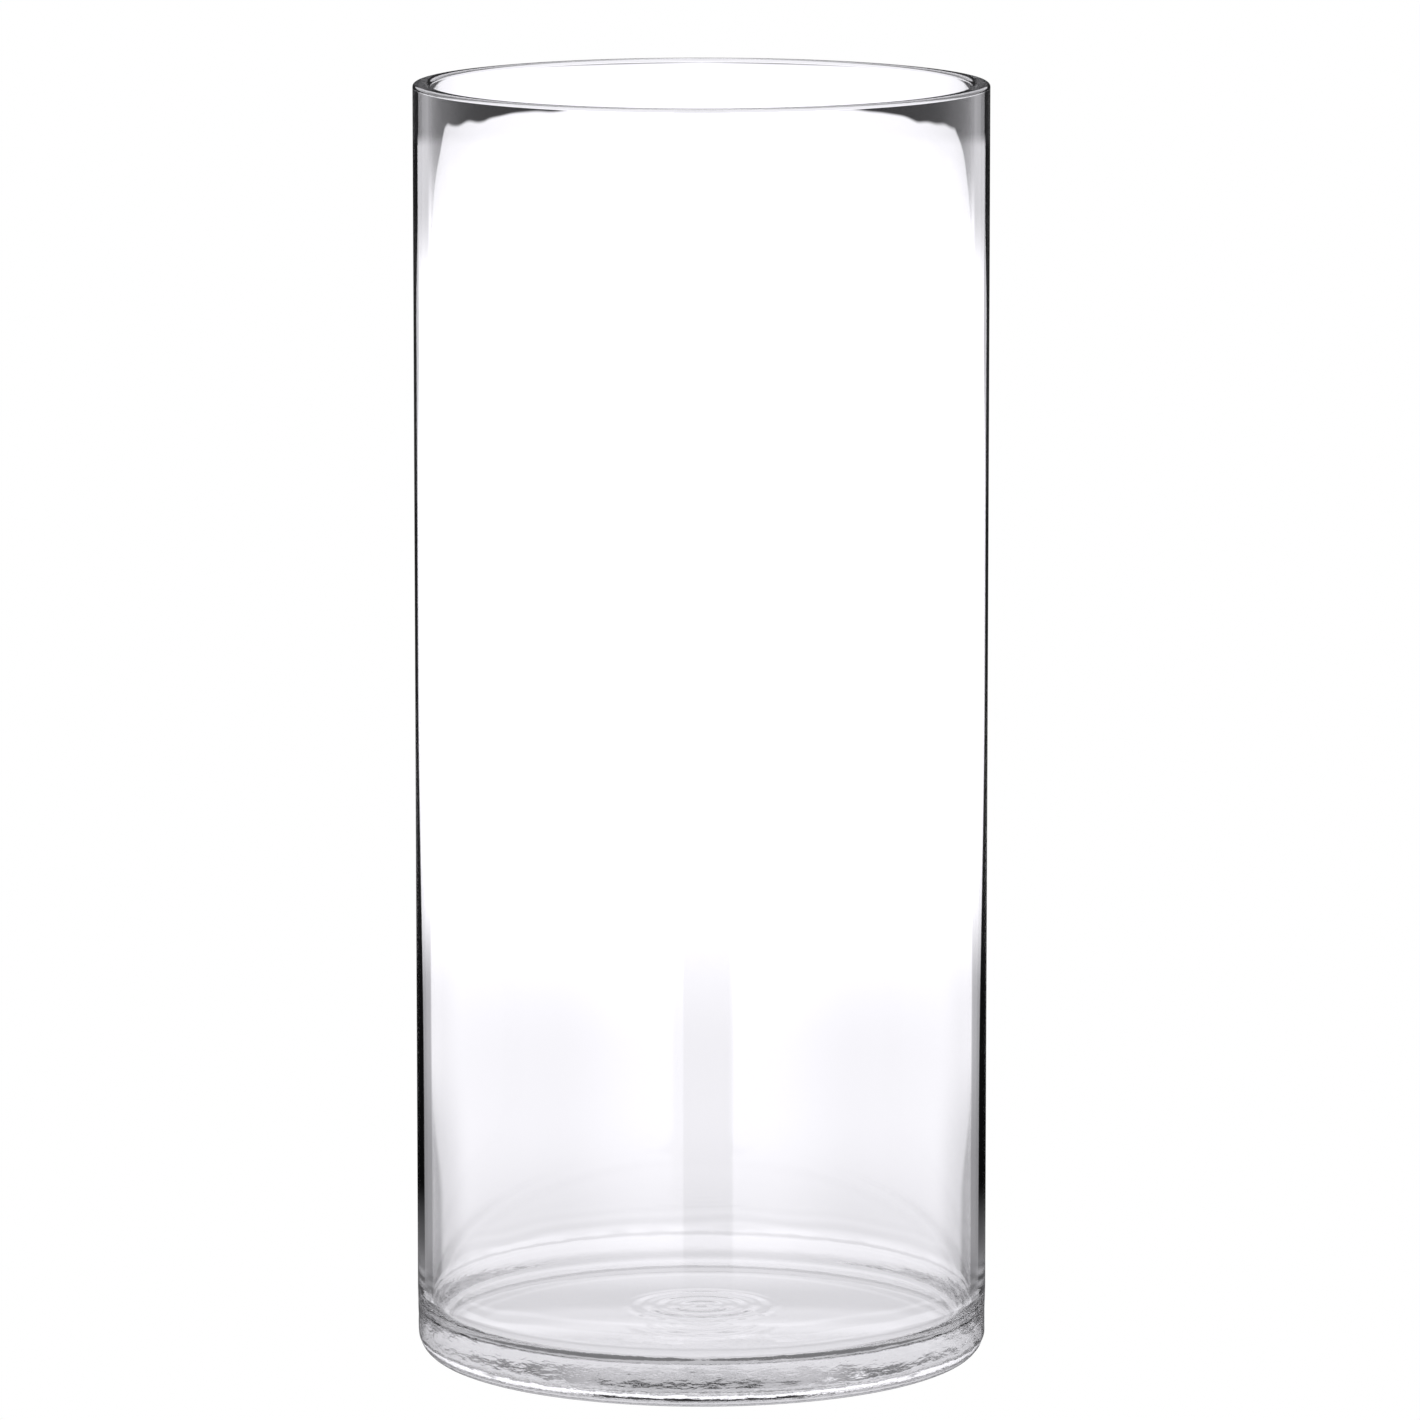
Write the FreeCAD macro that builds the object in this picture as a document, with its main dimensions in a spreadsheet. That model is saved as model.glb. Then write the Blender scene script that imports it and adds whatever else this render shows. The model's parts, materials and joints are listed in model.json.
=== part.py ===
"""Glass cylinder vase: one piece of mould-blown clear glass.

The glass is worked from a solid blank, one feature for each thing that a person
would name: the cavity with its domed floor and thickened lip, the rounded foot,
the hollow pushed up under it, the faint ring round the middle of the floor, and
the polished edges of the rim.
Millimetres, +Z up, origin at the centre of the foot on the surface it stands on.
"""

import FreeCAD
import Part
import Sketcher
import math
import os

PARTS_FOLDER = "parts"
MATCH = 1e-3  # a smaller difference than this between two measures is none
QUARTER = math.pi / 2

# Driving dimensions: alias, value, meaning.
DIMENSIONS = [
    ("outer_diameter", 202.0, "outside of the cylinder"),
    ("height", 452.0, "foot to rim"),
    ("wall", 5.2, "thickness of the cylinder's wall"),
    ("lip_wall", 6.4, "thickness of the wall at the rim"),
    ("lip_land", 8.0, "straight stretch inside the rim"),
    ("lip_blend", 250.0, "height over which the lip thins to the wall"),
    ("base_edge", 14.5, "thickness of the base at the edge of its floor"),
    ("floor_rise", 1.5, "how far the floor's centre stands above its edge"),
    ("inner_corner", 7.5, "radius between the floor and the wall"),
    ("outer_corner", 8.0, "radius between the wall and the foot"),
    ("rim_edge", 1.0, "radius of the rim's two polished edges"),
    ("foot_ring", 84.0, "inner radius of the flat ring that it stands on"),
    ("push_up", 0.5, "height of the hollow under the foot at its centre"),
    ("floor_ring", 22.0, "radius of the faint ring round the middle of the floor"),
    ("ring_groove", 1.5, "radius of that ring's rounded groove"),
    ("ring_depth", 0.3, "depth of that groove"),
    ("overrun", 5.0, "how far the cavity's cut runs past the rim"),
]
SIZE = {alias: value for alias, value, _ in DIMENSIONS}

# Ends of an edge, and the references that every sketch has.
START, END, CENTRE = 1, 2, 3
ORIGIN, UPRIGHT_AXIS = -1, -2


def make_sheet(doc):
    """The spreadsheet of driving dimensions, one alias to a row."""
    sheet = doc.addObject("Spreadsheet::Sheet", "Dimensions")
    for row, (alias, value, meaning) in enumerate(DIMENSIONS, start=1):
        sheet.set(f"A{row}", meaning)
        sheet.set(f"B{row}", str(value))
        sheet.setAlias(f"B{row}", alias)
    doc.recompute()
    return sheet


def cell(expression):
    """An expression in which each driving dimension is read from the sheet."""
    words = expression.split(" ")
    return " ".join(f"Dimensions.{word}" if word in SIZE else word for word in words)


class Outline:
    """A closed outline on the body's XZ plane, across X and up Z."""

    def __init__(self, body, name):
        self.sketch = body.newObject("Sketcher::SketchObject", name)
        planes = body.Origin.OriginFeatures
        plane = next(feature for feature in planes if feature.Role == "XZ_Plane")
        self.sketch.AttachmentSupport = (plane, [""])
        self.sketch.MapMode = "FlatFace"

    def line(self, start, end):
        segment = Part.LineSegment(FreeCAD.Vector(*start, 0), FreeCAD.Vector(*end, 0))
        return self.sketch.addGeometry(segment, False)

    def circle(self, centre, radius):
        return self.sketch.addGeometry(full_circle(centre, radius), False)

    def arc(self, centre, radius, first, last):
        """An arc that runs anticlockwise from angle first to angle last, in radians."""
        curve = Part.ArcOfCircle(full_circle(centre, radius), first, last)
        return self.sketch.addGeometry(curve, False)

    def rule(self, kind, *references):
        return self.sketch.addConstraint(Sketcher.Constraint(kind, *references))

    def size(self, kind, name, references, value, expression):
        """A dimension that follows the sheet; value only starts the solver near it."""
        index = self.rule(kind, *references, value)
        self.sketch.renameConstraint(index, name)
        self.sketch.setExpression(f"Constraints.{name}", cell(expression))

    def place(self, name, edge, end, across=None, up=None):
        """Fixes one end of an edge from the origin, each way as (value, expression)."""
        where = (ORIGIN, START, edge, end)
        if across:
            self.size("DistanceX", f"{name}_across", where, *across)
        if up:
            self.size("DistanceY", f"{name}_up", where, *up)

    def solved(self):
        self.sketch.Document.recompute()
        if not self.sketch.FullyConstrained:
            raise RuntimeError(f"{self.sketch.Name} isn't fully constrained")
        return self.sketch


def full_circle(centre, radius):
    upright = FreeCAD.Vector(0, 0, 1)
    return Part.Circle(FreeCAD.Vector(*centre, 0), upright, radius)


def turn(body, kind, name, sketch):
    """Adds or cuts what the sketch sweeps in a full turn about its upright axis."""
    feature = body.newObject(f"PartDesign::{kind}", name)
    feature.Profile = sketch
    feature.ReferenceAxis = (sketch, ["V_Axis"])
    feature.Angle = 360
    body.Document.recompute()
    return feature


def cut(body, name, sketch):
    """A turned cut that has to take some glass away."""
    before = body.Shape.Volume
    feature = turn(body, "Groove", name, sketch)
    if not feature.Shape.Volume < before - MATCH:
        raise RuntimeError(f"{name} cut nothing")
    return feature


def circle_edge(shape, radius, height):
    """The name of the circular edge about Z of that radius, at that height."""
    for number, edge in enumerate(shape.Edges, start=1):
        if edge.Degenerated or not isinstance(edge.Curve, Part.Circle):
            continue
        same_radius = abs(edge.Curve.Radius - radius) < MATCH
        same_height = abs(edge.Curve.Center.z - height) < MATCH
        if same_radius and same_height:
            return f"Edge{number}"
    raise RuntimeError(f"there is no circle of radius {radius} at height {height}")


def round_edges(body, name, circles, radius_cell):
    """Fillets the circles given as (radius, height) on the newest feature."""
    newest = body.Tip
    feature = body.newObject("PartDesign::Fillet", name)
    edges = [circle_edge(newest.Shape, *circle) for circle in circles]
    feature.Base = (newest, edges)
    feature.setExpression("Radius", cell(radius_cell))
    body.Document.recompute()
    return feature


def blank_outline(body):
    """The solid cylinder that the vase is cut from."""
    radius, height = SIZE["outer_diameter"] / 2, SIZE["height"]
    outline = Outline(body, "blank_outline")
    foot = outline.line((0, 0), (radius, 0))
    side = outline.line((radius, 0), (radius, height))
    top = outline.line((radius, height), (0, height))
    axis = outline.line((0, height), (0, 0))
    for one, next_one in ((foot, side), (side, top), (top, axis), (axis, foot)):
        outline.rule("Coincident", one, END, next_one, START)
    outline.rule("Coincident", foot, START, ORIGIN, START)
    for level in (foot, top):
        outline.rule("Horizontal", level)
    for upright in (side, axis):
        outline.rule("Vertical", upright)
    outline.place(
        "top",
        side,
        END,
        across=(radius, "outer_diameter / 2"),
        up=(height, "height"),
    )
    return outline.solved()


def cavity_outline(body):
    """The inside: domed floor, round corner, straight wall and thicker lip."""
    inside = SIZE["outer_diameter"] / 2 - SIZE["wall"]
    mouth = SIZE["outer_diameter"] / 2 - SIZE["lip_wall"]
    corner, rise = SIZE["inner_corner"], SIZE["floor_rise"]
    land_start = SIZE["height"] - SIZE["lip_land"]
    blend_start = land_start - SIZE["lip_blend"]
    cut_top = SIZE["height"] + SIZE["overrun"]
    floor_edge, floor_top = SIZE["base_edge"], SIZE["base_edge"] + rise

    flat = inside - corner
    dome = (flat**2 + rise**2) / (2 * rise)
    tilt = flat / dome
    step = inside - mouth
    bend = (SIZE["lip_blend"] ** 2 + step**2) / (4 * step)
    sweep = SIZE["lip_blend"] / 2 / bend

    outline = Outline(body, "cavity_outline")
    axis = outline.line((0, cut_top), (0, floor_top))
    floor = outline.arc((0, floor_top - dome), dome, QUARTER - tilt, QUARTER)
    round_corner = outline.arc((flat, floor_edge + corner), corner, -QUARTER - tilt, 0)
    wall = outline.line((inside, floor_edge + corner), (inside, blend_start))
    lower_bend = outline.arc((inside - bend, blend_start), bend, 0, sweep)
    upper_bend = outline.arc(
        (mouth + bend, land_start), bend, 2 * QUARTER, 2 * QUARTER + sweep
    )
    land = outline.line((mouth, land_start), (mouth, cut_top))
    top = outline.line((mouth, cut_top), (0, cut_top))

    outline.rule("PointOnObject", axis, START, UPRIGHT_AXIS)
    outline.rule("PointOnObject", axis, END, UPRIGHT_AXIS)
    outline.rule("PointOnObject", floor, CENTRE, UPRIGHT_AXIS)
    outline.rule("Coincident", axis, END, floor, END)
    outline.rule("Tangent", floor, START, round_corner, START)
    outline.rule("Tangent", round_corner, END, wall, START)
    outline.rule("Tangent", wall, END, lower_bend, START)
    outline.rule("Tangent", lower_bend, END, upper_bend, END)
    outline.rule("Tangent", upper_bend, START, land, START)
    outline.rule("Coincident", land, END, top, START)
    outline.rule("Coincident", top, END, axis, START)
    outline.rule("Equal", lower_bend, upper_bend)
    outline.rule("Vertical", wall)
    outline.rule("Vertical", land)
    outline.rule("Horizontal", top)

    outline.size("Radius", "corner", (round_corner,), corner, "inner_corner")
    outline.place("floor_top", floor, END, up=(floor_top, "base_edge + floor_rise"))
    outline.place("floor_edge", floor, START, up=(floor_edge, "base_edge"))
    outline.place(
        "wall",
        wall,
        END,
        across=(inside, "outer_diameter / 2 - wall"),
        up=(blend_start, "height - lip_land - lip_blend"),
    )
    outline.place(
        "land",
        land,
        START,
        across=(mouth, "outer_diameter / 2 - lip_wall"),
        up=(land_start, "height - lip_land"),
    )
    outline.place("top", land, END, up=(cut_top, "height + overrun"))
    return outline.solved()


def push_up_outline(body):
    """The shallow hollow under the foot, an arc that is level at the centre."""
    ring, rise = SIZE["foot_ring"], SIZE["push_up"]
    radius = (ring**2 + rise**2) / (2 * rise)
    tilt = ring / radius

    outline = Outline(body, "push_up_outline")
    level = outline.line((0, 0), (ring, 0))
    hollow = outline.arc((0, rise - radius), radius, QUARTER - tilt, QUARTER)
    axis = outline.line((0, rise), (0, 0))
    outline.rule("Coincident", level, START, ORIGIN, START)
    outline.rule("Coincident", level, END, hollow, START)
    outline.rule("Coincident", hollow, END, axis, START)
    outline.rule("Coincident", axis, END, level, START)
    outline.rule("Horizontal", level)
    outline.rule("Vertical", axis)
    outline.rule("PointOnObject", hollow, CENTRE, UPRIGHT_AXIS)
    outline.place("ring", level, END, across=(ring, "foot_ring"))
    outline.place("centre", hollow, END, up=(rise, "push_up"))
    return outline.solved()


def floor_ring_outline(body):
    """The section of the floor's faint ring: a circle that dips into the floor."""
    ring, radius, depth = SIZE["floor_ring"], SIZE["ring_groove"], SIZE["ring_depth"]
    flat = SIZE["outer_diameter"] / 2 - SIZE["wall"] - SIZE["inner_corner"]
    floor = SIZE["base_edge"] + SIZE["floor_rise"] * (1 - (ring / flat) ** 2)
    outline = Outline(body, "floor_ring_outline")
    section = outline.circle((ring, floor + radius - depth), radius)
    outline.size("Radius", "groove", (section,), radius, "ring_groove")
    outline.place(
        "centre",
        section,
        CENTRE,
        across=(ring, "floor_ring"),
        up=(
            floor + radius - depth,
            "base_edge + floor_rise * ( 1 - ( floor_ring /"
            " ( outer_diameter / 2 - wall - inner_corner ) ) ^ 2 )"
            " + ring_groove - ring_depth",
        ),
    )
    return outline.solved()


def make_vase_body(doc):
    """The whole vase, which is one piece of glass."""
    body = doc.addObject("PartDesign::Body", "vase_body")
    body.Label = "vase_body"
    outside = SIZE["outer_diameter"] / 2
    mouth = outside - SIZE["lip_wall"]

    turn(body, "Revolution", "blank", blank_outline(body))
    cut(body, "cavity", cavity_outline(body))
    cut(body, "push_up", push_up_outline(body))
    round_edges(body, "foot_corner", [(outside, 0)], "outer_corner")
    rim = [(outside, SIZE["height"]), (mouth, SIZE["height"])]
    round_edges(body, "rim_edges", rim, "rim_edge")
    cut(body, "floor_ring", floor_ring_outline(body))
    return body


def check(doc, sub_parts):
    """Stops if any object failed, or if a sub-part isn't one valid solid."""
    doc.recompute()
    for item in doc.Objects:
        if {"Invalid", "Error"} & set(item.State):
            raise RuntimeError(f"{item.Name} failed: {item.State}")
    for part in sub_parts:
        shape = part.Shape
        if shape.isNull() or not shape.isValid() or len(shape.Solids) != 1:
            raise RuntimeError(f"{part.Label} isn't one valid solid")


def main():
    doc = FreeCAD.newDocument("glass_cylinder_vase")
    make_sheet(doc)
    sub_parts = [make_vase_body(doc)]
    check(doc, sub_parts)
    os.makedirs(PARTS_FOLDER, exist_ok=True)
    for part in sub_parts:
        part.Shape.exportStep(os.path.join(PARTS_FOLDER, f"{part.Label}.step"))
        box = part.Shape.optimalBoundingBox(True, False)
        print(
            f"{part.Label}: {box.XLength:.2f} x {box.YLength:.2f} x {box.ZLength:.2f} mm,"
            f" {part.Shape.Volume / 1000:.1f} cm3, {len(part.Shape.Faces)} faces"
        )


main()
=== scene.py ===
"""Looks of the glass cylinder vase: one piece of clear glass on a white sweep.

The glass is a fine mesh turned from the vase's section, with the slight waviness of
blown glass worked into it. The studio is painted on the world, by direction and by
the way that the light has taken through the glass. Metres, +Z up, the frame of the
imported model.
"""

import json
import math
import random

import bpy
import numpy as np
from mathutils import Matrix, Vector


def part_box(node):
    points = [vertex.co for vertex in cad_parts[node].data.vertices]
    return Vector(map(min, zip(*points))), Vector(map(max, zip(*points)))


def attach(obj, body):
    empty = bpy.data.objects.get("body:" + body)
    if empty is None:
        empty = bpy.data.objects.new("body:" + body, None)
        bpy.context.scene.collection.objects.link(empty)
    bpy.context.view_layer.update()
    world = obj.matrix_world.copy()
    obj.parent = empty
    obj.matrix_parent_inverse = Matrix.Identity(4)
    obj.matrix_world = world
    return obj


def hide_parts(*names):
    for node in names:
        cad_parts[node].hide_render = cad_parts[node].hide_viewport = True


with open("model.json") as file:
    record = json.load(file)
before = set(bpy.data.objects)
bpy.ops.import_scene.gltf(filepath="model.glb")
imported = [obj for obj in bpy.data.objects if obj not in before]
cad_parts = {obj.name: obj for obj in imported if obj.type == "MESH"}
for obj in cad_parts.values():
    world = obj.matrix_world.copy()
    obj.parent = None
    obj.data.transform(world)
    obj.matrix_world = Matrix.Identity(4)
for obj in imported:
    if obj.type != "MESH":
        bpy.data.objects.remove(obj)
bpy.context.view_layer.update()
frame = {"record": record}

NODE = "vase_body"
WHITE = (1.0, 1.0, 1.0, 1.0)

# The vase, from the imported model: its outside, its mouth and its height.
LOW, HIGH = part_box(NODE)
RADIUS = (HIGH.x - LOW.x) / 2
HEIGHT = HIGH.z - LOW.z
MOUNTS = {mount["name"]: mount for mount in frame["record"]["mounts"]}
MOUTH = MOUNTS["mouth_bore"]["dims"]["r_mm"] / 1000

# The rest of its section, as in the CAD model.
WALL = 0.0052
LIP_LAND = 0.008
LIP_BLEND = 0.250
BASE_EDGE = 0.0145
FLOOR_RISE = 0.0015
INNER_CORNER = 0.0075
OUTER_CORNER = 0.008
RIM_EDGE = 0.001
FOOT_RING = 0.084
PUSH_UP = 0.0005
FLOOR_RING = 0.022
INSIDE = RADIUS - WALL
FLOOR_FLAT = INSIDE - INNER_CORNER
CORNER_TOP = BASE_EDGE + INNER_CORNER

# What the glassmaker's fire and mould leave, too fine for the CAD model. Three values
# are how many waves are added up, and the lengths of the shortest and the longest.
CROWN_TILT = math.radians(8)  # lean of the fire-polished rim at its two edges
HEEL_TOP = 0.024  # the outside of the base is wavy up to here
HEEL_WAVE = 0.00022
HEEL_WAVES = (14, 0.005, 0.020)
SWIRL_TOP = 0.036  # the inside has fine rings up to here
SWIRL_DEPTH = 0.000006
SWIRL_SPACING = 0.0045
SWIRL_WANDER = 3  # how far the rings stray from level, in radians of their spacing
SWIRL_WAVES = (8, 0.030, 0.090)
WALL_WAVE = 0.000008
WALL_WAVES = (12, 0.012, 0.040)
WALL_WAVE_STRETCH = 3  # how much longer these waves are upwards than around the wall
RIPPLE_DEPTH = 0.00006
RIPPLE_SPACING = 0.0085
RIPPLE_END = 1.4 * FLOOR_RING
MARKS_PER_METRE = 260.0
MARK_SQUEEZE = 3.0  # how much finer the marks are upwards than sideways
MARK_DEPTH = 0.00008
SEED = 11

# How finely the glass is divided: round its axis, and along each part of its section.
SECTORS = 480
UNDERSIDE_STEPS = 30
FOOT_STEPS = 5
CORNER_STEPS = 10
HEEL_STEPS = 12
SWIRL_STEPS_OUTSIDE = 4
SWIRL_STEPS_INSIDE = 15
WALL_STEPS = 30
RIM_EDGE_STEPS = 6
CROWN_STEPS = 8
FLOOR_STEPS = 12
RIPPLE_STEPS = 18

# Where the camera stands: distances in outer diameters.
CAMERA_DISTANCE = 17.0
CAMERA_HEIGHT = 3.791
CAMERA_PITCH = math.radians(8.865)
CAMERA_TURN = math.radians(0.05)
LENS = 249.6
SENSOR = 36.0

# The floor under the vase: half its width, and how far it is below the foot.
FLOOR_REACH = 20.0
FLOOR_DROP = 0.0002


# ---------------------------------------------------------------- the section


def spread(start, end, count):
    """Values from start to end, closer together at both ends, without the start."""
    shares = [(1 - math.cos(math.pi * (i + 1) / count)) / 2 for i in range(count)]
    return [start + (end - start) * share for share in shares]


def even(start, end, count):
    """Evenly spaced values from start to end, without the start."""
    return [start + (end - start) * (i + 1) / count for i in range(count)]


def arc(centre, radius, first, last, count):
    """Points of an arc from angle first to angle last, in degrees, without its start."""
    return [
        (
            centre[0] + radius * math.cos(math.radians(angle)),
            centre[1] + radius * math.sin(math.radians(angle)),
        )
        for angle in even(first, last, count)
    ]


def dome(flat, low, rise, radii):
    """Points of a shallow dome that ends at radius flat and height low."""
    return [(r, low + rise * (1 - (r / flat) ** 2)) for r in radii]


def inside_radius(z):
    """The inside radius of the wall at height z: the wall is thicker at the rim."""
    start = HEIGHT - LIP_LAND - LIP_BLEND
    share = min(max((z - start) / LIP_BLEND, 0.0), 1.0)
    return INSIDE + (MOUTH - INSIDE) * share * share * (3 - 2 * share)


def foot():
    """The underside, from its centre out: the pushed-up hollow and the flat ring."""
    points = [(0.0, PUSH_UP)]
    points += dome(FOOT_RING, 0.0, PUSH_UP, even(0, FOOT_RING, UNDERSIDE_STEPS))
    points += [(r, 0.0) for r in even(FOOT_RING, RADIUS - OUTER_CORNER, FOOT_STEPS)]
    return points


def outer_wall(top):
    """The outside, from the foot's round corner up to height top."""
    corner = (RADIUS - OUTER_CORNER, OUTER_CORNER)
    points = arc(corner, OUTER_CORNER, -90, 0, CORNER_STEPS)
    points += [(RADIUS, z) for z in even(OUTER_CORNER, HEEL_TOP, HEEL_STEPS)]
    points += [(RADIUS, z) for z in spread(HEEL_TOP, SWIRL_TOP, SWIRL_STEPS_OUTSIDE)]
    points += [(RADIUS, z) for z in spread(SWIRL_TOP, top, WALL_STEPS)]
    return points


def rim():
    """The fire-polished rim: two rounded edges and a slight crown between them."""
    lean = math.degrees(CROWN_TILT)
    reach = RIM_EDGE * (1 - math.sin(CROWN_TILT))
    half = (RADIUS - MOUTH) / 2 - reach
    crown = half * math.tan(CROWN_TILT) / 2
    level = HEIGHT - crown - RIM_EDGE * math.cos(CROWN_TILT)
    middle = (RADIUS + MOUTH) / 2
    points = [(RADIUS, level)]
    points += arc((RADIUS - RIM_EDGE, level), RIM_EDGE, 0, 90 - lean, RIM_EDGE_STEPS)
    for r in even(middle + half, middle - half, CROWN_STEPS):
        points.append((r, HEIGHT - crown * ((r - middle) / half) ** 2))
    points += arc((MOUTH + RIM_EDGE, level), RIM_EDGE, 90 + lean, 180, RIM_EDGE_STEPS)
    return points


def inner_wall(top):
    """The inside, from height top down round the corner to the edge of the floor."""
    levels = [top] + spread(top, SWIRL_TOP, WALL_STEPS)
    levels += even(SWIRL_TOP, CORNER_TOP, SWIRL_STEPS_INSIDE)
    points = [(inside_radius(z), z) for z in levels]
    points += arc((FLOOR_FLAT, CORNER_TOP), INNER_CORNER, 0, -90, CORNER_STEPS)
    return points


def inner_floor():
    """The floor of the vase, from its edge to its centre."""
    radii = spread(FLOOR_FLAT, RIPPLE_END, FLOOR_STEPS) + even(RIPPLE_END, 0, RIPPLE_STEPS)
    return dome(FLOOR_FLAT, BASE_EDGE, FLOOR_RISE, radii)


def section():
    """The section from the foot's centre round to the floor's centre, by surface."""
    edge = rim()
    top = edge[0][1] - RIM_EDGE / 8  # the walls end just below the rim's first point
    return {
        "underside": foot(),
        "outside": outer_wall(top),
        "rim": edge,
        "inside": inner_wall(top),
        "floor": inner_floor(),
    }


# --------------------------------------------------------------- the waviness


class Waves:
    """A sum of seeded sine waves over two coordinates, between -1 and 1."""

    def __init__(self, chance, count, shortest, longest):
        self.waves = []
        for _ in range(count):
            length = chance.uniform(shortest, longest)
            heading = chance.uniform(0, math.pi)
            self.waves.append(
                (
                    2 * math.pi * math.cos(heading) / length,
                    2 * math.pi * math.sin(heading) / length,
                    chance.uniform(0, 2 * math.pi),
                )
            )

    def at(self, u, v):
        return sum(np.sin(a * u + b * v + c) for a, b, c in self.waves) / len(self.waves)


def fade(value, start, end):
    """1 up to start, 0 from end on, and a smooth change between."""
    share = np.clip((value - start) / (end - start), 0, 1)
    return 1 - share * share * (3 - 2 * share)


def heel_waves(chance, around, height):
    """How far in the outside of the base is from the CAD model's."""
    waves = Waves(chance, *HEEL_WAVES)
    share = fade(height, BASE_EDGE, HEEL_TOP)
    share = share * (1 - fade(height, 0, OUTER_CORNER / 2))
    return HEEL_WAVE * (1 + waves.at(around, height)) * share


def swirls(chance, around, height):
    """Fine wandering rings inside, low on the wall."""
    waves = Waves(chance, *SWIRL_WAVES)
    share = fade(height, CORNER_TOP, SWIRL_TOP)
    share = share * (1 - fade(height, BASE_EDGE, CORNER_TOP))
    phase = 2 * math.pi * height / SWIRL_SPACING + SWIRL_WANDER * waves.at(around, height)
    return SWIRL_DEPTH * np.sin(phase) * share


def wall_waves(chance, around, height):
    """Very shallow waves inside the wall, which die out before the rim."""
    waves = Waves(chance, *WALL_WAVES)
    share = fade(height, HEIGHT - 3 * LIP_LAND, HEIGHT - LIP_LAND / 2)
    share = share * (1 - fade(height, SWIRL_TOP, 2 * SWIRL_TOP))
    return WALL_WAVE * waves.at(around, height / WALL_WAVE_STRETCH) * share


def floor_ripples(radius):
    """The ripples that the plunger leaves round the middle of the floor."""
    share = fade(radius, FLOOR_RING, RIPPLE_END)
    return RIPPLE_DEPTH * np.cos(2 * math.pi * radius / RIPPLE_SPACING) * share


def waved(surface, radius, height, angle):
    """Radius and height of points on one surface, with the waviness of blown glass."""
    chance = random.Random(SEED + len(surface))
    around = RADIUS * np.abs(angle)  # the same in front and behind, so without a seam
    if surface == "outside":
        radius = radius - heel_waves(chance, around, height)
    if surface == "inside":
        radius = radius + swirls(chance, around, height)
        radius = radius + wall_waves(chance, around, height)
    if surface == "floor":
        height = height + floor_ripples(radius)
    return radius, height


# ------------------------------------------------------------------- the mesh


def glass_grid(sectors):
    """Every point of the glass but its two poles, ring by ring, and the poles."""
    angle = np.linspace(-math.pi, math.pi, sectors, endpoint=False)[None, :]
    rings = []
    for surface, points in section().items():
        radius = np.array([r for r, _ in points])[:, None] + 0 * angle
        height = np.array([z for _, z in points])[:, None] + 0 * angle
        radius, height = waved(surface, radius, height, angle + 0 * radius)
        across, along = radius * np.cos(angle), radius * np.sin(angle)
        rings.append(np.stack([across, along, height], axis=-1))
    rings = np.concatenate(rings)
    poles = [rings[0].mean(axis=0), rings[-1].mean(axis=0)]
    return rings[1:-1], poles


def glass_faces(ring_count, sectors):
    """The faces between neighbouring rings, and the fans that close the two poles."""
    last = (ring_count - 1) * sectors
    foot_pole = last + sectors
    floor_pole = foot_pole + 1
    faces = []
    for i in range(ring_count - 1):
        for j in range(sectors):
            k = (j + 1) % sectors
            a, b = i * sectors, (i + 1) * sectors
            faces.append((a + j, a + k, b + k, b + j))
    for j in range(sectors):
        k = (j + 1) % sectors
        faces.append((foot_pole, k, j))
        faces.append((floor_pole, last + j, last + k))
    return faces


def turned(name, sectors):
    """The glass as one closed mesh."""
    rings, poles = glass_grid(sectors)
    verts = [tuple(v) for v in rings.reshape(-1, 3)] + [tuple(v) for v in poles]
    mesh = bpy.data.meshes.new(name)
    mesh.from_pydata(verts, [], glass_faces(len(rings), sectors))
    mesh.shade_smooth()
    mesh.update()
    piece = bpy.data.objects.new(name, mesh)
    bpy.context.scene.collection.objects.link(piece)
    return piece


# --------------------------------------------------------------- shader nodes


class Nodes:
    """Short calls for building a shader out of nodes."""

    def __init__(self, tree, clear=True):
        self.tree = tree
        if clear:
            self.tree.nodes.clear()

    def add(self, kind, **settings):
        node = self.tree.nodes.new(kind)
        for name, value in settings.items():
            setattr(node, name, value)
        return node

    def feed(self, socket, value):
        if isinstance(value, bpy.types.NodeSocket):
            self.tree.links.new(value, socket)
        else:
            socket.default_value = value

    def math(self, operation, *values):
        node = self.add("ShaderNodeMath", operation=operation)
        for socket, value in zip(node.inputs, values):
            self.feed(socket, value)
        return node.outputs[0]

    def step(self, value, low, high, first=0.0, last=1.0):
        """first below low, last above high, and a smooth change between."""
        node = self.add("ShaderNodeMapRange", interpolation_type="SMOOTHSTEP")
        self.feed(node.inputs["Value"], value)
        self.feed(node.inputs["From Min"], low)
        self.feed(node.inputs["From Max"], high)
        self.feed(node.inputs["To Min"], first)
        self.feed(node.inputs["To Max"], last)
        return node.outputs["Result"]

    def mix(self, share, first, second):
        """first where share is 0, second where it is 1."""
        node = self.add("ShaderNodeMix", data_type="FLOAT")
        self.feed(node.inputs[0], share)
        self.feed(node.inputs[2], first)
        self.feed(node.inputs[3], second)
        return node.outputs[0]


# ------------------------------------------------------------------ the glass


def low_outside(n, place):
    """1 on the outside of the base, 0 on the rest of the vase."""
    parts = n.add("ShaderNodeSeparateXYZ")
    n.feed(parts.inputs[0], place)
    across = n.math("MULTIPLY", parts.outputs[0], parts.outputs[0])
    along = n.math("MULTIPLY", parts.outputs[1], parts.outputs[1])
    from_axis = n.math("SQRT", n.math("ADD", across, along))
    low = n.step(parts.outputs[2], BASE_EDGE, HEEL_TOP, 1.0, 0.0)
    outside = n.step(from_axis, FOOT_RING, INSIDE, 0.0, 1.0)
    return n.math("MULTIPLY", low, outside)


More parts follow.
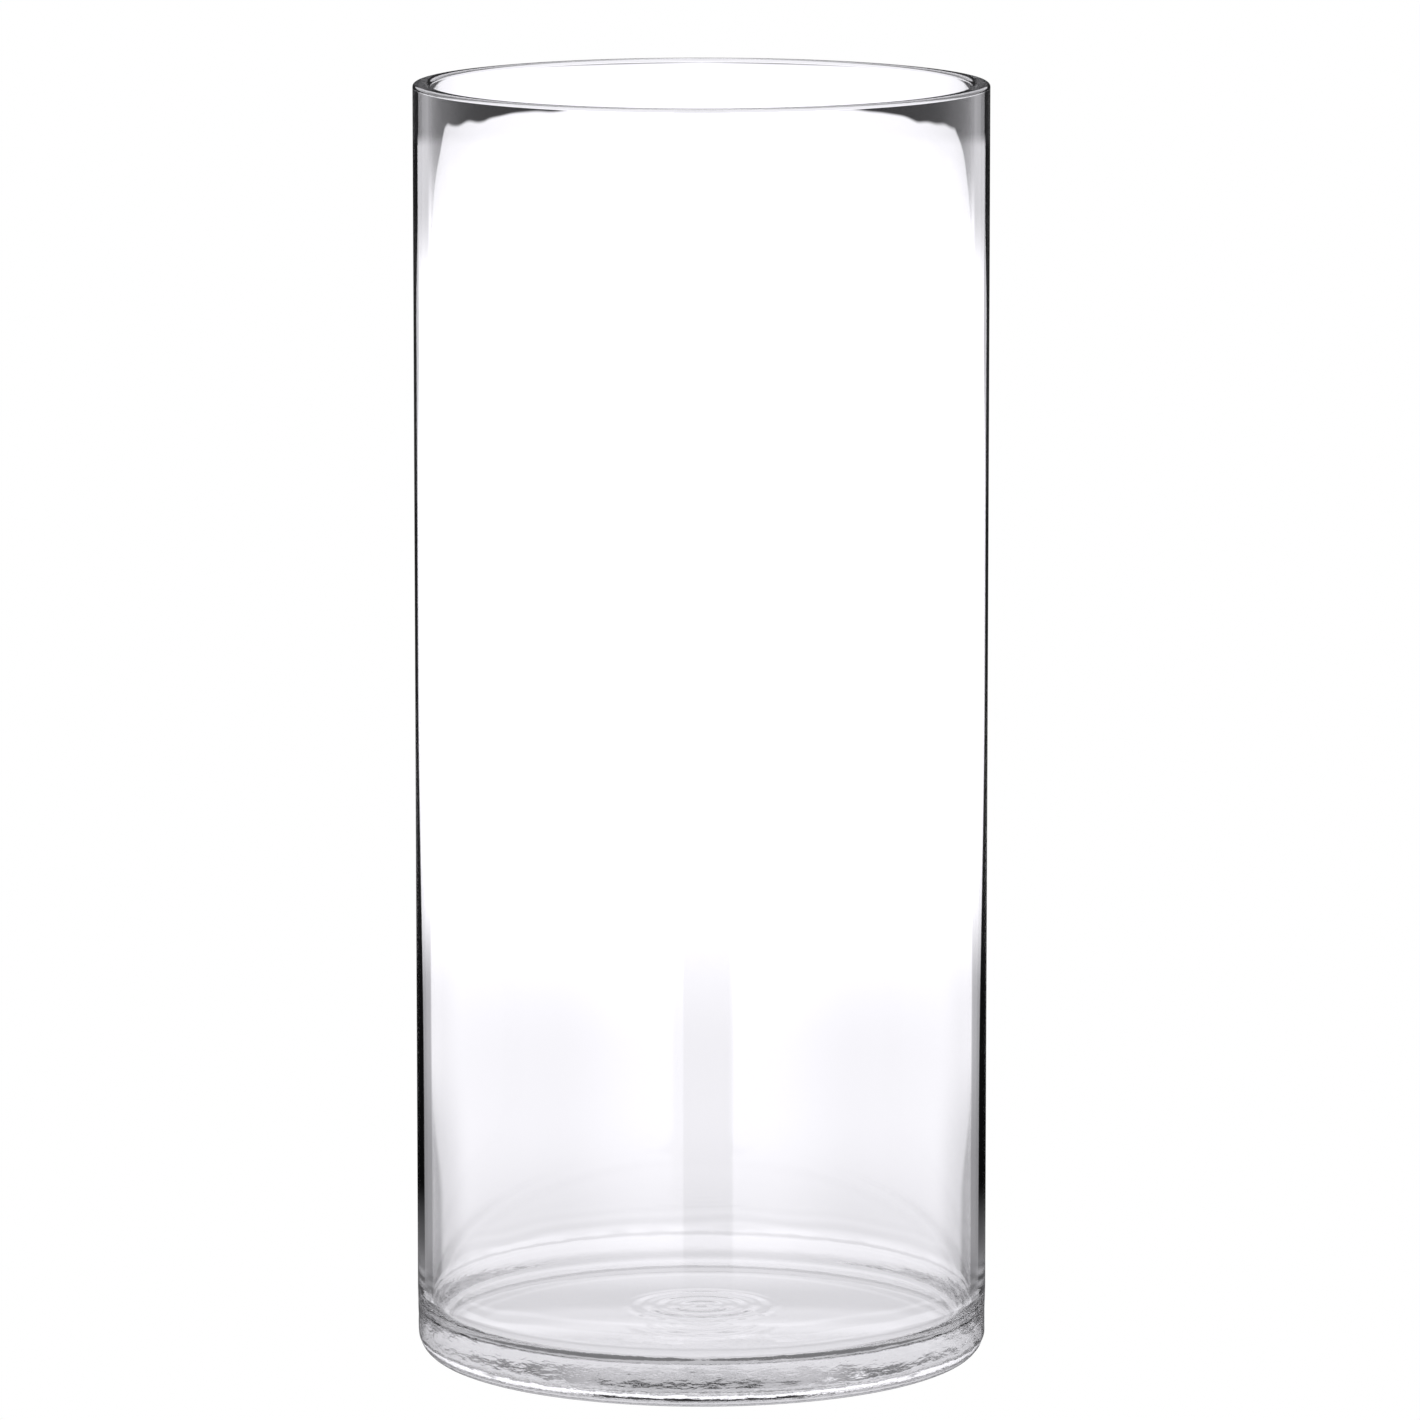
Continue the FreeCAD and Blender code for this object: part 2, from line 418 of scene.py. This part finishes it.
def chill_marks(n):
    """Fine marks round the outside of the base, drawn out sideways, as a normal."""
    place = n.add("ShaderNodeTexCoord").outputs["Object"]
    squeezed = n.add("ShaderNodeMapping")
    n.feed(squeezed.inputs["Vector"], place)
    n.feed(squeezed.inputs["Scale"], (1.0, 1.0, MARK_SQUEEZE))
    marks = n.add("ShaderNodeTexNoise")
    n.feed(marks.inputs["Vector"], squeezed.outputs[0])
    n.feed(marks.inputs["Scale"], MARKS_PER_METRE)
    n.feed(marks.inputs["Detail"], 3.0)

    bump = n.add("ShaderNodeBump")
    n.feed(bump.inputs["Height"], n.math("MULTIPLY", marks.outputs[0], low_outside(n, place)))
    n.feed(bump.inputs["Distance"], MARK_DEPTH)
    return bump.outputs[0]


def glass():
    """Clear soda-lime glass."""
    material = bpy.data.materials.new("clear_glass")
    material.use_nodes = True
    shader = material.node_tree.nodes["Principled BSDF"]
    shader.inputs["Base Color"].default_value = WHITE
    shader.inputs["Roughness"].default_value = 0.0
    shader.inputs["IOR"].default_value = 1.52
    shader.inputs["Transmission Weight"].default_value = 1.0
    n = Nodes(material.node_tree, clear=False)
    n.feed(shader.inputs["Normal"], chill_marks(n))
    return material


# ----------------------------------------------------------------- the studio
#
# Azimuths are degrees from +Y, the way the camera looks, and elevations are degrees
# above the horizon. A pair of either is where a change starts and where it ends, and
# a pair of lights is what it changes from and to. A light of 1 is the page's white.

STUDIO_TINT = (0.965, 0.955, 1.0, 1.0)
ALL_TO_NONE = (1.0, 0.0)

# How many faces the light has met, as a limit halfway between two counts.
NONE_YET = 0.5
FRONT_WALL = 2.5
BOTH_WALLS = 3.5

# The sweep's far edge: its elevation ahead, and its change with each degree sideways.
EDGE_MIDDLE = (-5.310, -0.0125)
EDGE_FLANK = (-5.367, -0.0030)
EDGE_END = (-5.245, -0.0130)
EDGE_ONE_WALL = (-5.10, -0.0130)
EDGE_SOFTNESS = (-0.008, 0.008)
EDGE_LIGHT = (1.0, 0.012)
WALL_BEYOND = (-3.9, -3.5)

# How bright the sweep is: the elevations and the lights of each band it changes in.
SWEEP_BANDS = (
    (-10.9, -9.7, 0.94, 1.22),
    (-12.1, -11.2, 0.78, 1.0),
    (-15.0, -13.0, 1.28, 1.0),
    (-50.0, -30.0, 0.80, 1.0),
)

# The dark card low at each side. Its near edge moves outwards above its shoulder.
CARD_LIGHT = 0.25
CARD_FOOT = (-13.2, -12.6)
CARD_SHOULDER = (-11.7, -10.5)
CARD_NEAR_EDGE = (14.0, 36.0)
CARD_FAR_EDGE = (36.0, 40.0)
CARD_SOFTNESS = (-1.5, 1.5)

# The dark gap between the softboxes ahead, and its half width low, at its waist and high.
GAP_FOOT = (-12.0, -11.6)
GAP_LIGHT = (0.3, 0.01)
GAP_NARROWS = (-11.2, -8.6)
GAP_WIDENS = (-6.6, -5.9)
GAP_LOW = 21.5
GAP_WAIST = 14.0
GAP_HIGH = 17.5

# The softboxes behind the camera: azimuths from the middle of the gap between them.
GAP_BEHIND = 177.4
GAP_BEHIND_EDGE = (9.5, 10.5)
GAP_BEHIND_LIGHT = 1.2
BOX_BEHIND = (20.0, 65.0)
BOX_BEHIND_LIGHT = (2.2, 1.2)

# Where the softboxes start and end upwards, and where the ceiling starts.
BOX_FOOT = (-12.3, -11.9)
BOX_TOP = (-5.6, -5.5)
CEILING = (7.0, 9.0)

# What the outside of the vase mirrors. A turn is where the softboxes ahead give way
# to those behind.
OUTSIDE_GAP_STRETCH = 1.25
OUTSIDE_GAP_SOFTNESS = 1.5
OUTSIDE_BOX = (-10.6, -10.0)
OUTSIDE_BOX_LIGHT = (0.42, 1.4)
OUTSIDE_TURN = (50.0, 70.0)
OUTSIDE_FOOT_LIGHT = 0.15
OUTSIDE_ROOM_LIGHT = (0.04, 1.3)

# What the inside of the front wall mirrors, or the glass of the base.
WALL_GAP_SOFTNESS = 1.0
WALL_BOX_FOOT = (-10.5, -9.6)
WALL_BOX_TOP = (-5.75, -5.5)
WALL_BOX_LIGHT = 1.4
WALL_SCREEN_FOOT = (-11.5, -10.8)
WALL_SCREEN_TOP = (-5.6, -5.4)
WALL_SCREEN_TOP_LIGHT = (1.0, 0.3)
WALL_SCREEN_EDGE = (32.0, 35.0)
WALL_SCREEN_NEAR_LIGHT = (0.3, 0.5)
WALL_SCREEN_FAR_LIGHT = (0.3, 1.2)
WALL_TURN = (55.0, 70.0)
WALL_BEHIND_TOP = (-5.50, -5.45)
WALL_BEHIND_LIGHT = (1.0, 0.1)
WALL_FOOT = (15.0, 30.0)
WALL_FOOT_LIGHT = (0.55, 0.18)
WALL_ROOM = (-4.2, -4.1)
WALL_ROOM_LIGHT = (0.22, 0.8)

# What the back wall and the floor of the vase mirror.
DEEP_FOOT = (-10.2, -9.8)
DEEP_STRIP = (167.0, 168.5)
DEEP_STRIP_LIGHT = (1.0, 0.3)
DEEP_ROOM_LIGHT = 0.4
DEEP_CEILING = (12.0, 14.0)
DEEP_CEILING_LIGHT = (0.9, 0.5)


def edge_line(n, aside, line):
    """Elevation of one straight stretch of the sweep's far edge."""
    ahead, change = line
    return n.math("MULTIPLY_ADD", aside, change, ahead)


def sweep_edge(n, aside, faces):
    """Elevation of the sweep's far edge, which falls away to both sides."""
    middle = edge_line(n, aside, EDGE_MIDDLE)
    flank = edge_line(n, aside, EDGE_FLANK)
    end = edge_line(n, aside, EDGE_END)
    through_both_walls = n.math("MINIMUM", n.math("MAXIMUM", middle, flank), end)
    through_one_wall = edge_line(n, aside, EDGE_ONE_WALL)
    both = n.math("GREATER_THAN", faces, BOTH_WALLS)
    return n.mix(both, through_one_wall, through_both_walls)


def side_cards(n, ahead, elevation):
    """The shade of a card at each side, low down, that greys the vase's edges there."""
    near_edge = n.step(elevation, *CARD_SHOULDER, *CARD_NEAR_EDGE)
    near = n.step(n.math("SUBTRACT", ahead, near_edge), *CARD_SOFTNESS)
    card = n.math("MULTIPLY", near, n.step(ahead, *CARD_FAR_EDGE, *ALL_TO_NONE))
    card = n.math("MULTIPLY", card, n.step(elevation, *CARD_FOOT))
    return n.mix(card, 1.0, CARD_LIGHT)


def sweep_level(n, ahead, elevation):
    """How bright the sweep is: most in the middle, less near the vase's foot."""
    level = side_cards(n, ahead, elevation)
    for band in SWEEP_BANDS:
        level = n.math("MULTIPLY", level, n.step(elevation, *band))
    return level


def seen_through(n, ahead, elevation, faces):
    """Light that comes straight through: the lit sweep, up to its far edge."""
    aside = n.math("PINGPONG", ahead, 45.0)  # the edge is alike on all four sides
    past = n.math("SUBTRACT", elevation, sweep_edge(n, aside, faces))
    lit = n.step(past, *EDGE_SOFTNESS, *EDGE_LIGHT)
    wall_beyond = n.step(elevation, *WALL_BEYOND)
    level = sweep_level(n, ahead, elevation)
    return n.math("MULTIPLY", level, n.math("MAXIMUM", lit, wall_beyond))


def gap_side(n, elevation):
    """Where the dark gap between the softboxes ahead ends, to each side."""
    low = n.step(elevation, *GAP_NARROWS, GAP_LOW, GAP_WAIST)
    high = n.step(elevation, *GAP_WIDENS, GAP_WAIST, GAP_HIGH)
    return n.math("MAXIMUM", low, high)


def gap_shade(n, ahead, elevation, side, softness):
    """The share of the light ahead that is left inside the dark gap, 1 outside it."""
    inside = n.step(elevation, *GAP_FOOT, *GAP_LIGHT)
    return n.step(n.math("SUBTRACT", ahead, side), 0.0, softness, inside, 1.0)


def boxes_behind(n, behind):
    """The softboxes behind the camera, brightest beside the gap between them."""
    boxes = n.step(behind, *BOX_BEHIND, *BOX_BEHIND_LIGHT)
    return n.step(behind, *GAP_BEHIND_EDGE, GAP_BEHIND_LIGHT, boxes)


def mirrored_outside(n, ahead, behind, elevation):
    """Light that the outside of the vase mirrors."""
    side = n.math("MULTIPLY", gap_side(n, elevation), OUTSIDE_GAP_STRETCH)
    gap = gap_shade(n, ahead, elevation, side, OUTSIDE_GAP_SOFTNESS)
    box = n.math("MULTIPLY", gap, n.step(elevation, *OUTSIDE_BOX, *OUTSIDE_BOX_LIGHT))
    box = n.mix(n.step(ahead, *OUTSIDE_TURN), box, boxes_behind(n, behind))
    box = n.mix(n.step(elevation, *BOX_FOOT), OUTSIDE_FOOT_LIGHT, box)
    room = n.step(elevation, *CEILING, *OUTSIDE_ROOM_LIGHT)
    return n.mix(n.step(elevation, *BOX_TOP), box, room)


def wall_screens(n, ahead, elevation):
    """Dimmer screens above and below the softboxes ahead, brighter to the sides."""
    near = n.step(elevation, *WALL_SCREEN_FOOT, *WALL_SCREEN_NEAR_LIGHT)
    far = n.step(elevation, *WALL_SCREEN_FOOT, *WALL_SCREEN_FAR_LIGHT)
    top = n.step(elevation, *WALL_SCREEN_TOP, *WALL_SCREEN_TOP_LIGHT)
    return n.mix(n.step(ahead, *WALL_SCREEN_EDGE), near, n.math("MULTIPLY", far, top))


def wall_boxes_ahead(n, ahead, elevation):
    """The softboxes ahead, with the dark gap between them and the screens around."""
    foot_edge = n.step(elevation, *WALL_BOX_FOOT)
    top_edge = n.step(elevation, *WALL_BOX_TOP, *ALL_TO_NONE)
    box = n.math("MULTIPLY", foot_edge, top_edge)
    light = n.mix(box, wall_screens(n, ahead, elevation), WALL_BOX_LIGHT)
    gap = gap_shade(n, ahead, elevation, gap_side(n, elevation), WALL_GAP_SOFTNESS)
    return n.math("MULTIPLY", gap, light)


def mirrored_in_wall(n, ahead, behind, elevation):
    """Light that the inside of the front wall mirrors, or the glass of the base."""
    top = n.step(elevation, *WALL_BEHIND_TOP, *WALL_BEHIND_LIGHT)
    far_boxes = n.math("MULTIPLY", boxes_behind(n, behind), top)
    box = wall_boxes_ahead(n, ahead, elevation)
    box = n.mix(n.step(ahead, *WALL_TURN), box, far_boxes)
    foot_light = n.step(ahead, *WALL_FOOT, *WALL_FOOT_LIGHT)
    box = n.mix(n.step(elevation, *BOX_FOOT), foot_light, box)
    room = n.step(elevation, *CEILING, *WALL_ROOM_LIGHT)
    return n.mix(n.step(elevation, *WALL_ROOM), box, room)


def mirrored_deep(n, ahead, elevation):
    """Light that the back wall and the floor of the vase mirror."""
    strip = n.step(ahead, *DEEP_STRIP, *DEEP_STRIP_LIGHT)
    box = n.mix(n.step(elevation, *DEEP_FOOT), strip, 1.0)
    ceiling = n.step(elevation, *DEEP_CEILING, *DEEP_CEILING_LIGHT)
    room = n.step(elevation, *CEILING, DEEP_ROOM_LIGHT, ceiling)
    return n.mix(n.step(elevation, *BOX_TOP), box, room)


def mirrored(n, azimuth, ahead, elevation, faces):
    """Light that a face mirrors: softboxes, and the dark room between them."""
    behind = n.math("PINGPONG", n.math("SUBTRACT", azimuth, GAP_BEHIND), 180.0)
    outside = mirrored_outside(n, ahead, behind, elevation)
    in_wall = mirrored_in_wall(n, ahead, behind, elevation)
    deep = mirrored_deep(n, ahead, elevation)
    light = n.mix(n.math("GREATER_THAN", faces, FRONT_WALL), in_wall, deep)
    return n.mix(n.math("LESS_THAN", faces, NONE_YET), light, outside)


def direction(n):
    """The way that a ray goes: its azimuth and its elevation, in degrees."""
    parts = n.add("ShaderNodeSeparateXYZ")
    n.feed(parts.inputs[0], n.add("ShaderNodeTexCoord").outputs["Generated"])
    azimuth = n.math("ARCTAN2", parts.outputs[0], parts.outputs[1])
    elevation = n.math("ARCSINE", parts.outputs[2])
    degrees = 180 / math.pi
    return n.math("MULTIPLY", azimuth, degrees), n.math("MULTIPLY", elevation, degrees)


def surroundings():
    """The studio, painted on the world by direction and by the light's way there."""
    world = bpy.data.worlds.new("studio")
    bpy.context.scene.world = world
    world.use_nodes = True
    n = Nodes(world.node_tree)
    azimuth, elevation = direction(n)
    ahead = n.math("PINGPONG", azimuth, 180.0)

    path = n.add("ShaderNodeLightPath")
    faces = path.outputs["Transmission Depth"]
    reflected = n.math("GREATER_THAN", path.outputs["Glossy Depth"], NONE_YET)
    straight = seen_through(n, ahead, elevation, faces)
    light = n.mix(reflected, straight, mirrored(n, azimuth, ahead, elevation, faces))
    light = n.mix(path.outputs["Is Camera Ray"], light, 1.0)
    tint = n.add("ShaderNodeMix", data_type="RGBA")
    n.feed(tint.inputs[0], path.outputs["Is Camera Ray"])
    n.feed(tint.inputs[6], STUDIO_TINT)
    n.feed(tint.inputs[7], WHITE)

    background = n.add("ShaderNodeBackground")
    n.feed(background.inputs["Color"], tint.outputs[2])
    n.feed(background.inputs["Strength"], light)
    out = n.add("ShaderNodeOutputWorld")
    n.feed(out.inputs["Surface"], background.outputs[0])


def page_white():
    """A plain white that shines by itself."""
    material = bpy.data.materials.new("floor")
    material.use_nodes = True
    n = Nodes(material.node_tree)
    shine = n.add("ShaderNodeEmission")
    n.feed(shine.inputs["Strength"], 1.0)
    out = n.add("ShaderNodeOutputMaterial")
    n.feed(out.inputs["Surface"], shine.outputs[0])
    return material


def studio_floor():
    """The white floor, which the camera sees and the glass doesn't."""
    far = FLOOR_REACH
    corners = [(-far, -far, 0), (far, -far, 0), (far, far, 0), (-far, far, 0)]
    mesh = bpy.data.meshes.new("floor")
    mesh.from_pydata(corners, [], [(0, 1, 2, 3)])
    mesh.materials.append(page_white())
    plane = bpy.data.objects.new("floor", mesh)
    bpy.context.scene.collection.objects.link(plane)
    plane.location.z = -FLOOR_DROP
    plane.visible_transmission = False
    plane.visible_glossy = False


def camera():
    """The camera, a long way off and looking slightly down."""
    data = bpy.data.cameras.new("camera")
    data.lens = LENS
    data.sensor_width = SENSOR
    eye = bpy.data.objects.new("camera", data)
    bpy.context.scene.collection.objects.link(eye)
    diameter = 2 * RADIUS
    eye.location = (0, -CAMERA_DISTANCE * diameter, CAMERA_HEIGHT * diameter)
    eye.rotation_euler = (math.pi / 2 - CAMERA_PITCH, 0, -CAMERA_TURN)
    bpy.context.scene.camera = eye


def picture_settings():
    """Plain colours, and enough bounces for light that crosses both walls and the base."""
    scene = bpy.context.scene
    scene.view_settings.view_transform = "Standard"
    scene.cycles.max_bounces = 24
    scene.cycles.transmission_bounces = 24
    scene.cycles.glossy_bounces = 24


def main():
    """The vase in its studio."""
    camera()
    surroundings()
    studio_floor()
    vase = turned("vase_glass", SECTORS)
    vase.data.materials.append(glass())
    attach(vase, "root")
    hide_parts(NODE)
    picture_settings()


main()
